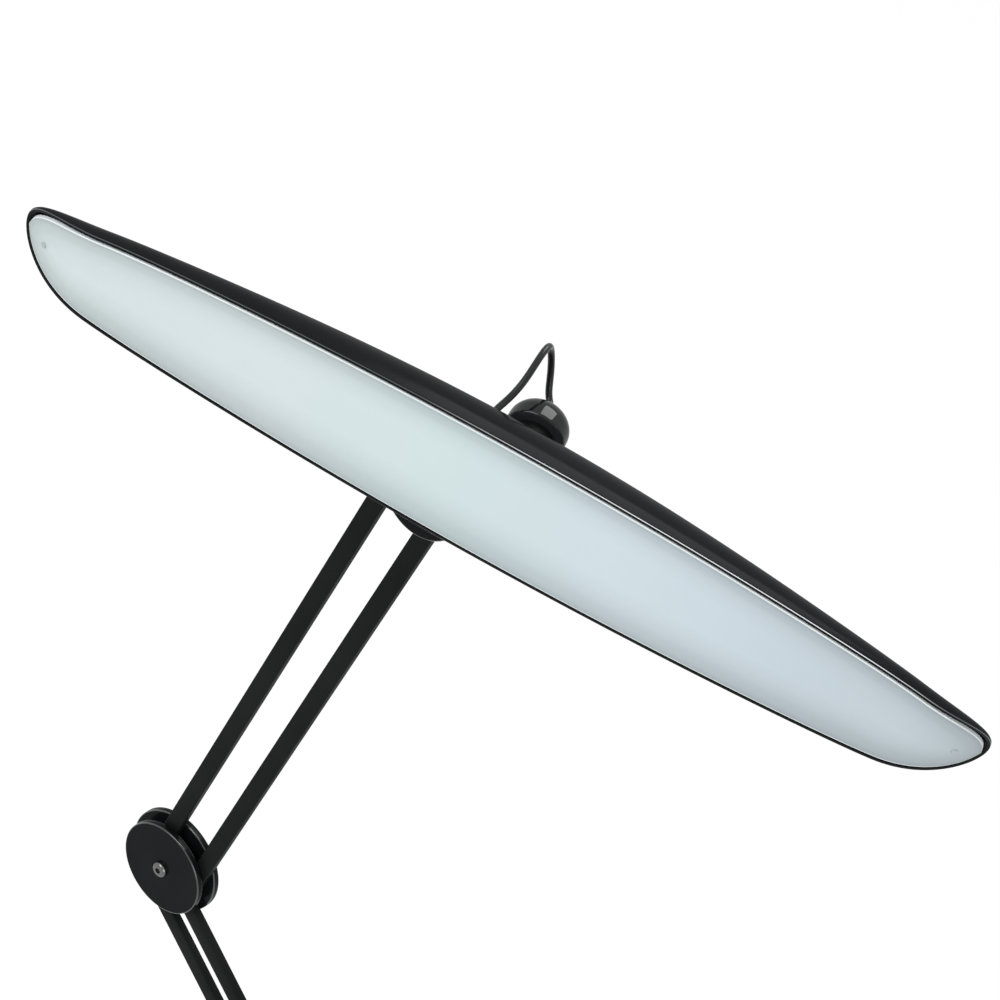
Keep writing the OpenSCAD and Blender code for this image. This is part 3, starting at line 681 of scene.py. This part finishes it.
# %% Dome
bpy.ops.mesh.primitive_uv_sphere_add(segments=96, ring_count=48, radius=dome_radius)
dome = name_new("dome_cap")
open_all(dome)
bpy.ops.mesh.bisect(plane_co=(0, 0, 0), plane_no=(0, 0, 1), use_fill=True, clear_outer=True)
close_edit()
dome_wall, dome_edge, flat_side = dome_height - dome_cap, 1.6 * mm, 0.7
pick(dome, "FACE", lambda face: face.normal.z > squarely and abs(face.center.z) < hair)
bpy.ops.mesh.extrude_region_move(TRANSFORM_OT_translate={"value": (0, 0, dome_wall)})
close_edit()
pick(dome, "EDGE", lambda edge: all(abs(end.z - dome_wall) < hair for end in edge_ends(dome, edge)))
bpy.ops.mesh.bevel(offset=dome_edge, segments=6, affect="EDGES")
close_edit()
for vertex in dome.data.vertices:
    if vertex.co.z < 0:
        vertex.co.z *= dome_cap / dome_radius
dome.location.z = dome_face - dome_wall
bpy.ops.object.transform_apply(location=True)
dome.data.materials.append(dome_black)
dome.data.materials.append(underside_painted_light)
# The flat underside takes the lighter black, which is painted light.
for face in dome.data.polygons:
    face.material_index = face.normal.z > flat_side
lay_in(dome, head_frame)
dress(dome, "head", dome_black, "gloss_black", "dome", "dome_plate")
print("dome:", len(dome.data.polygons), "faces")

# %% [markdown]
# ## The arm's bars
# The bars are drawn flat tube, so their long edges are softly rounded and catch a thin line of light. A cube
# is stretched to the bar's length, its long edges are bevelled, its ends get a border as wide as the tube's
# wall, and it is leaned and moved to its two pivots.

# %% Bars
tube_width, tube_thickness, tube_end = 12.4 * mm, 6.3 * mm, 6.8 * mm
edge_round, tube_wall = 1 * mm, 1.2 * mm
arm_length = 406 * mm
lower_lean, upper_lean = math.radians(-61), math.radians(5.2)
bar_facts = [
    ("lower_bar_a", "lower_a", "lower_arm", lower_lean), ("lower_bar_b", "lower_b", "lower_link", lower_lean),
    ("upper_bar_a", "upper_a", "upper_arm", upper_lean), ("upper_bar_b", "upper_b", "upper_link", upper_lean),
]
for node, body, joint, lean in bar_facts:
    bpy.ops.mesh.primitive_cube_add(size=1)
    bar = name_new(node + "_tube")
    bar.scale = (tube_width, tube_thickness, arm_length + 2 * tube_end)
    bar.location.z = arm_length / 2
    bpy.ops.object.transform_apply(location=True, scale=True)
    pick(bar, "EDGE", lambda edge: not is_level(bar, edge))
    bpy.ops.mesh.bevel(offset=edge_round, segments=4, affect="EDGES")
    close_edit()
    pick(bar, "FACE", lambda face: abs(face.normal.z) > squarely)
    bpy.ops.mesh.inset(thickness=tube_wall)
    close_edit()
    lay_in(bar, Matrix.Translation(joints[joint]["pos_m"]) @ Matrix.Rotation(lean, 4, "Y"))
    dress(bar, body, powder_black, "satin_black_metal", node, smooth=40)
print(len(bar_facts), "bars")

# %% [markdown]
# ## The round plates
# Six round plates hold the pivots: two each at the base, the elbow and the top joint. Each is a short
# cylinder with a rounded rim, because that rim shows as a bright line, and an outer face that is dished very
# slightly.

# %% Plates
plate_edge, plate_border, plate_dish = 0.8 * mm, 1.2 * mm, 0.35 * mm
dish_fall, dish_climb = 0.45, 0.2
plate_facts = [
    ("base_disc_front", "base"), ("base_disc_back", "base"), ("elbow_disc_front", "elbow"),
    ("elbow_disc_back", "elbow"), ("top_disc_front", "top"), ("top_disc_back", "top"),
]
for node, body in plate_facts:
    low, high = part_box(node)
    radius = (high[0] - low[0]) / 2
    side = 1 if low[1] > 0 else -1
    bpy.ops.mesh.primitive_cylinder_add(vertices=160, radius=radius, depth=high[1] - low[1])
    plate = name_new(node + "_plate")
    pick(plate, "EDGE", lambda edge: is_level(plate, edge))
    plate.data.materials.append(enamel_black)
    plate.data.materials.append(enamel_edge)
    bpy.ops.mesh.bevel(offset=plate_edge, segments=4, affect="EDGES", material=1)
    close_edit()
    pick(plate, "FACE", lambda face: face.normal.z > squarely and len(face.vertices) > many_sides)
    bpy.ops.mesh.inset(thickness=plate_border)
    bpy.ops.mesh.inset(thickness=radius * dish_fall, depth=-plate_dish)
    bpy.ops.mesh.inset(thickness=radius * dish_climb, depth=plate_dish)
    close_edit()
    facing = Matrix.Rotation(math.radians(-90 * side), 4, "X")
    lay_in(plate, Matrix.Translation(box_middle(low, high)) @ facing)
    dress(plate, body, enamel_black, "black_plate", node, smooth=30)
print(len(plate_facts), "plates")

# %% [markdown]
# ## The centre screws
# A round-headed screw with a hexagon socket holds the plates together. A cylinder gets a strongly rounded top
# edge, a boolean with a six-sided bar cuts the socket, and a thinner cylinder is joined on as the shank.

# %% Centre screws
screw_head_radius, screw_head_height, screw_head_round = 6 * mm, 3.3 * mm, 2.3 * mm
socket_radius, socket_depth, shank_radius = 2.4 * mm, 2 * mm, 3 * mm
for node, body in (("elbow_screw", "elbow"), ("top_screw", "top")):
    low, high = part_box(node)
    bpy.ops.mesh.primitive_cylinder_add(vertices=96, radius=screw_head_radius, depth=screw_head_height)
    screw = name_new(node + "_head")
    pick(screw, "EDGE", lambda edge: all(end.z > 0 for end in edge_ends(screw, edge)))
    bpy.ops.mesh.bevel(offset=screw_head_round, segments=8, affect="EDGES")
    close_edit()
    bpy.ops.mesh.primitive_cylinder_add(
        vertices=6, radius=socket_radius, depth=2 * socket_depth, location=(0, 0, screw_head_height / 2))
    socket_bar = name_new("socket_cutter")
    apply_modifier(screw, "BOOLEAN", object=socket_bar, operation="DIFFERENCE", solver="EXACT")
    bpy.data.objects.remove(socket_bar)
    bpy.ops.mesh.primitive_cylinder_add(
        vertices=48, radius=shank_radius, depth=high[1] - low[1] - screw_head_height,
        location=(0, 0, (low[1] - high[1]) / 2))
    name_new("screw_shank")
    screw.select_set(True)
    bpy.context.view_layer.objects.active = screw
    bpy.ops.object.join()
    seat = box_middle(low, high)
    seat.y = low[1] + screw_head_height / 2
    lay_in(screw, Matrix.Translation(seat) @ Matrix.Rotation(math.radians(90), 4, "X"))
    dress(screw, body, bright_steel, "bright_steel", node, smooth=30)
print("two centre screws")

# %% [markdown]
# ## Softer edges for the plain metal pieces
# Turned and cast pieces have the right shape already, but knife-sharp edges. For each, the model's own solid
# is copied, its loose triangles are merged, flat areas are dissolved into whole faces, and a bevel softens
# every sharp edge. The node itself stays as it is.


# %% Softened pieces
def soften(node, body, finish, slot, width):
    copy = frame["nodes"][node].copy()
    copy.data = frame["nodes"][node].data.copy()
    scene.collection.objects.link(copy)
    copy.parent = None
    copy.matrix_world = Matrix.Identity(4)
    copy.name = copy.data.name = node + "_soft"
    copy.data.materials.clear()
    open_all(copy)
    bpy.ops.mesh.remove_doubles(threshold=merge_within)
    bpy.ops.mesh.dissolve_limited(angle_limit=math.radians(0.5))
    close_edit()
    apply_modifier(
        copy, "BEVEL", width=width, segments=3, limit_method="ANGLE",
        angle_limit=math.radians(38), use_clamp_overlap=True)
    dress(copy, body, finish, slot, node)


soft_facts = [
    ("clamp_body", "clamp", powder_black, "satin_black_metal", 1.2),
    ("base_block", "base", powder_black, "satin_black_metal", 0.6),
    ("base_housing", "base", gloss_black, "gloss_black", 0.5),
    ("base_floor", "base", powder_black, "satin_black_metal", 0.5),
    ("switch_button", "button", moulded_black, "black_plastic", 0.6),
    ("dc_inlet", "base", moulded_black, "black_plastic", 0.3),
    ("pressure_plate", "press", powder_black, "satin_black_metal", 0.5),
    ("neck_hub", "hub", powder_black, "satin_black_metal", 0.7),
    ("neck", "neck", powder_black, "satin_black_metal", 0.7),
]
for node, body, finish, slot, width in soft_facts:
    soften(node, body, finish, slot, width * mm)
print(len(soft_facts), "softened pieces")

# %% [markdown]
# ## The clamp's knob and screw
# The knob has six finger hollows. A finely divided cylinder gets rounded edges and slightly sunk ends, and a
# smooth wave then presses it in along its side. The screw gets a real thread: a grid is rolled into a tube
# whose radius follows a helix.

# %% Knob
low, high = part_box("clamp_knob")
knob_radius, knob_height, knob_core = 18 * mm, high[2] - low[2], 9 * mm
knob_edge, fingers, finger_depth = 2.4 * mm, 6, 0.115
end_border, end_slope, end_sink = 6 * mm, 1 * mm, 0.8 * mm
bpy.ops.mesh.primitive_cylinder_add(vertices=144, radius=knob_radius, depth=knob_height)
knob = name_new("clamp_knob_grip")
pick(knob, "EDGE", lambda edge: is_level(knob, edge))
bpy.ops.mesh.bevel(offset=knob_edge, segments=6, affect="EDGES")
close_edit()
pick(knob, "FACE", lambda face: abs(face.normal.z) > squarely and len(face.vertices) > many_sides)
bpy.ops.mesh.inset(thickness=end_border)
bpy.ops.mesh.inset(thickness=end_slope, depth=-end_sink)
close_edit()
for vertex in knob.data.vertices:
    radius = math.hypot(vertex.co.x, vertex.co.y)
    wave = 0.5 + 0.5 * math.cos(fingers * math.atan2(vertex.co.y, vertex.co.x))
    press = 1 - finger_depth * wave ** 2 * max(0.0, (radius - knob_core) / (knob_radius - knob_core))
    vertex.co.x *= press
    vertex.co.y *= press
lay_in(knob, Matrix.Translation((0, 0, (low[2] + high[2]) / 2)))
dress(knob, "screw", moulded_black, "black_plastic", "clamp_knob")
print("knob:", len(knob.data.polygons), "faces")

# %% Threaded screw
low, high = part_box("clamp_screw")
thread_pitch, thread_depth, thread_radius = 2 * mm, 0.9 * mm, 5 * mm
end_run, end_taper = 2 * mm, 0.6 * mm
screw_length = high[2] - low[2]
around, rings_per_turn, flank = 36, 8, 2.6
rings = round(screw_length / thread_pitch * rings_per_turn)
bpy.ops.mesh.primitive_grid_add(x_subdivisions=around, y_subdivisions=rings, size=2)
thread = name_new("clamp_screw_thread")
for vertex in thread.data.vertices:
    angle = math.pi * vertex.co.x
    rise = (vertex.co.y + 1) / 2 * screw_length
    phase = (rise / thread_pitch - angle / (2 * math.pi)) % 1
    groove = min(1.0, flank * abs(phase - 0.5))
    near_end = min(1.0, rise / end_run, (screw_length - rise) / end_run)
    radius = thread_radius - thread_depth * (1 - groove) - end_taper * (1 - near_end)
    vertex.co = (radius * math.cos(angle), radius * math.sin(angle), low[2] + rise)
face_out(thread)
pick(thread, "EDGE", lambda edge: all(
    min(abs(end.z - low[2]), abs(end.z - high[2])) < hair for end in edge_ends(thread, edge)))
bpy.ops.mesh.edge_face_add()
close_edit()
face_out(thread)
dress(thread, "screw", turned_steel, "steel", "clamp_screw", smooth=25)
print("thread:", rings, "rings")

# %% [markdown]
# ## Finishes for the pieces that keep their own shape
# Pins, bushes, pads, nuts and the electronics inside the head need no new mesh, only a finish each.

# %% Finishes on nodes
node_finishes = {
    moulded_black: "lower_plugs_a lower_plugs_b upper_plugs_a upper_plugs_b tip_posts tray_posts",
    dark_nylon: "socket_bush lower_bushes_a lower_bushes_b upper_bushes_a upper_bushes_b elbow_sleeve",
    rubber_black: "jaw_pad plate_pad lead_grommet",
    turned_steel: "base_pins elbow_pins top_pins stem stem_nut",
    bright_steel: "elbow_nut top_nut",
    painted_grey: "tip_screws",
    white_plastic: "driver_box led_boards led_chips",
    plain_aluminium: "led_tray",
    board_green: "dimmer_board",
}
for finish, names in node_finishes.items():
    for name in names.split():
        mesh = frame["nodes"][name].data
        mesh.materials.clear()
        mesh.materials.append(finish)
print(sum(len(names.split()) for names in node_finishes.values()), "nodes finished")

# %% [markdown]
# ## Floor, background and light
# The lamp stands over a pale floor in soft light from large panels. The camera, and anything that mirrors,
# sees floor and background as white, while the floor still takes the lamp's shadow. The clamp's knob comes
# down when the clamp is opened, so the floor lies lower than that.

# %% Floor
knob_travel, floor_room = 30 * mm, 10 * mm
floor_height = cad_box[0][2] - knob_travel - floor_room
glow_share = 0.93
bpy.ops.mesh.primitive_plane_add(size=14, location=(0, 0, floor_height))
floor = name_new("studio_floor")
pale, tree, shader = new_material("pale_floor")
shader.inputs["Base Color"].default_value = (0.86, 0.86, 0.86, 1)
shader.inputs["Roughness"].default_value = 0.7


def seen_directly(tree):
    """1 for camera, glossy and transmission rays, and 0 for the rays that light the object."""
    path = tree.nodes.new("ShaderNodeLightPath")
    total = path.outputs["Is Camera Ray"]
    for label in ("Is Glossy Ray", "Is Transmission Ray"):
        larger = tree.nodes.new("ShaderNodeMath")
        larger.operation = "MAXIMUM"
        tree.links.new(total, larger.inputs[0])
        tree.links.new(path.outputs[label], larger.inputs[1])
        total = larger.outputs["Value"]
    return total


glow = tree.nodes.new("ShaderNodeEmission")
glow.inputs["Strength"].default_value = 1.03
mix = tree.nodes.new("ShaderNodeMixShader")
share = tree.nodes.new("ShaderNodeMath")
share.operation = "MULTIPLY"
share.inputs[1].default_value = glow_share
tree.links.new(seen_directly(tree), share.inputs[0])
tree.links.new(share.outputs["Value"], mix.inputs["Fac"])
tree.links.new(shader.outputs["BSDF"], mix.inputs[1])
tree.links.new(glow.outputs["Emission"], mix.inputs[2])
tree.links.new(mix.outputs["Shader"], tree.nodes["Material Output"].inputs["Surface"])
floor.data.materials.append(pale)
print("floor", round((cad_box[0][2] - floor_height) / mm), "mm below the lamp")

# %% World and lamps
world = bpy.data.worlds.new("studio_world")
world.use_nodes = True
scene.world = world
tree = world.node_tree
plain = tree.nodes["Background"]
plain.inputs["Color"].default_value = (1, 1, 1, 1)
plain.inputs["Strength"].default_value = 0.55
white = tree.nodes.new("ShaderNodeBackground")
white.inputs["Color"].default_value = (1, 1, 1, 1)
mix = tree.nodes.new("ShaderNodeMixShader")
tree.links.new(seen_directly(tree), mix.inputs["Fac"])
tree.links.new(plain.outputs["Background"], mix.inputs[1])
tree.links.new(white.outputs["Background"], mix.inputs[2])
tree.links.new(mix.outputs["Shader"], tree.nodes["World Output"].inputs["Surface"])

panels = [
    ("key_panel", (-1.05, -1.6, 2.05), 1.4, 26),
    ("fill_panel", (1.55, -1.2, 1.15), 1.2, 14),
    ("top_panel", (-0.40, 0.85, 2.25), 1.0, 18),
]
target = Vector((-0.27, -0.05, 0.83))
for name, spot, size, power in panels:
    bpy.ops.object.light_add(type="AREA", location=spot)
    panel = bpy.context.object
    panel.name = name
    panel.data.shape = "SQUARE"
    panel.data.size = size
    panel.data.energy = power
    panel.rotation_euler = (target - Vector(spot)).to_track_quat("-Z", "Y").to_euler()
scene.view_settings.view_transform = "Standard"
print(len(panels), "light panels")

# %% [markdown]
# ## The end
# Nothing is left selected at the end.

# %% Sizes
bpy.ops.object.select_all(action="DESELECT")
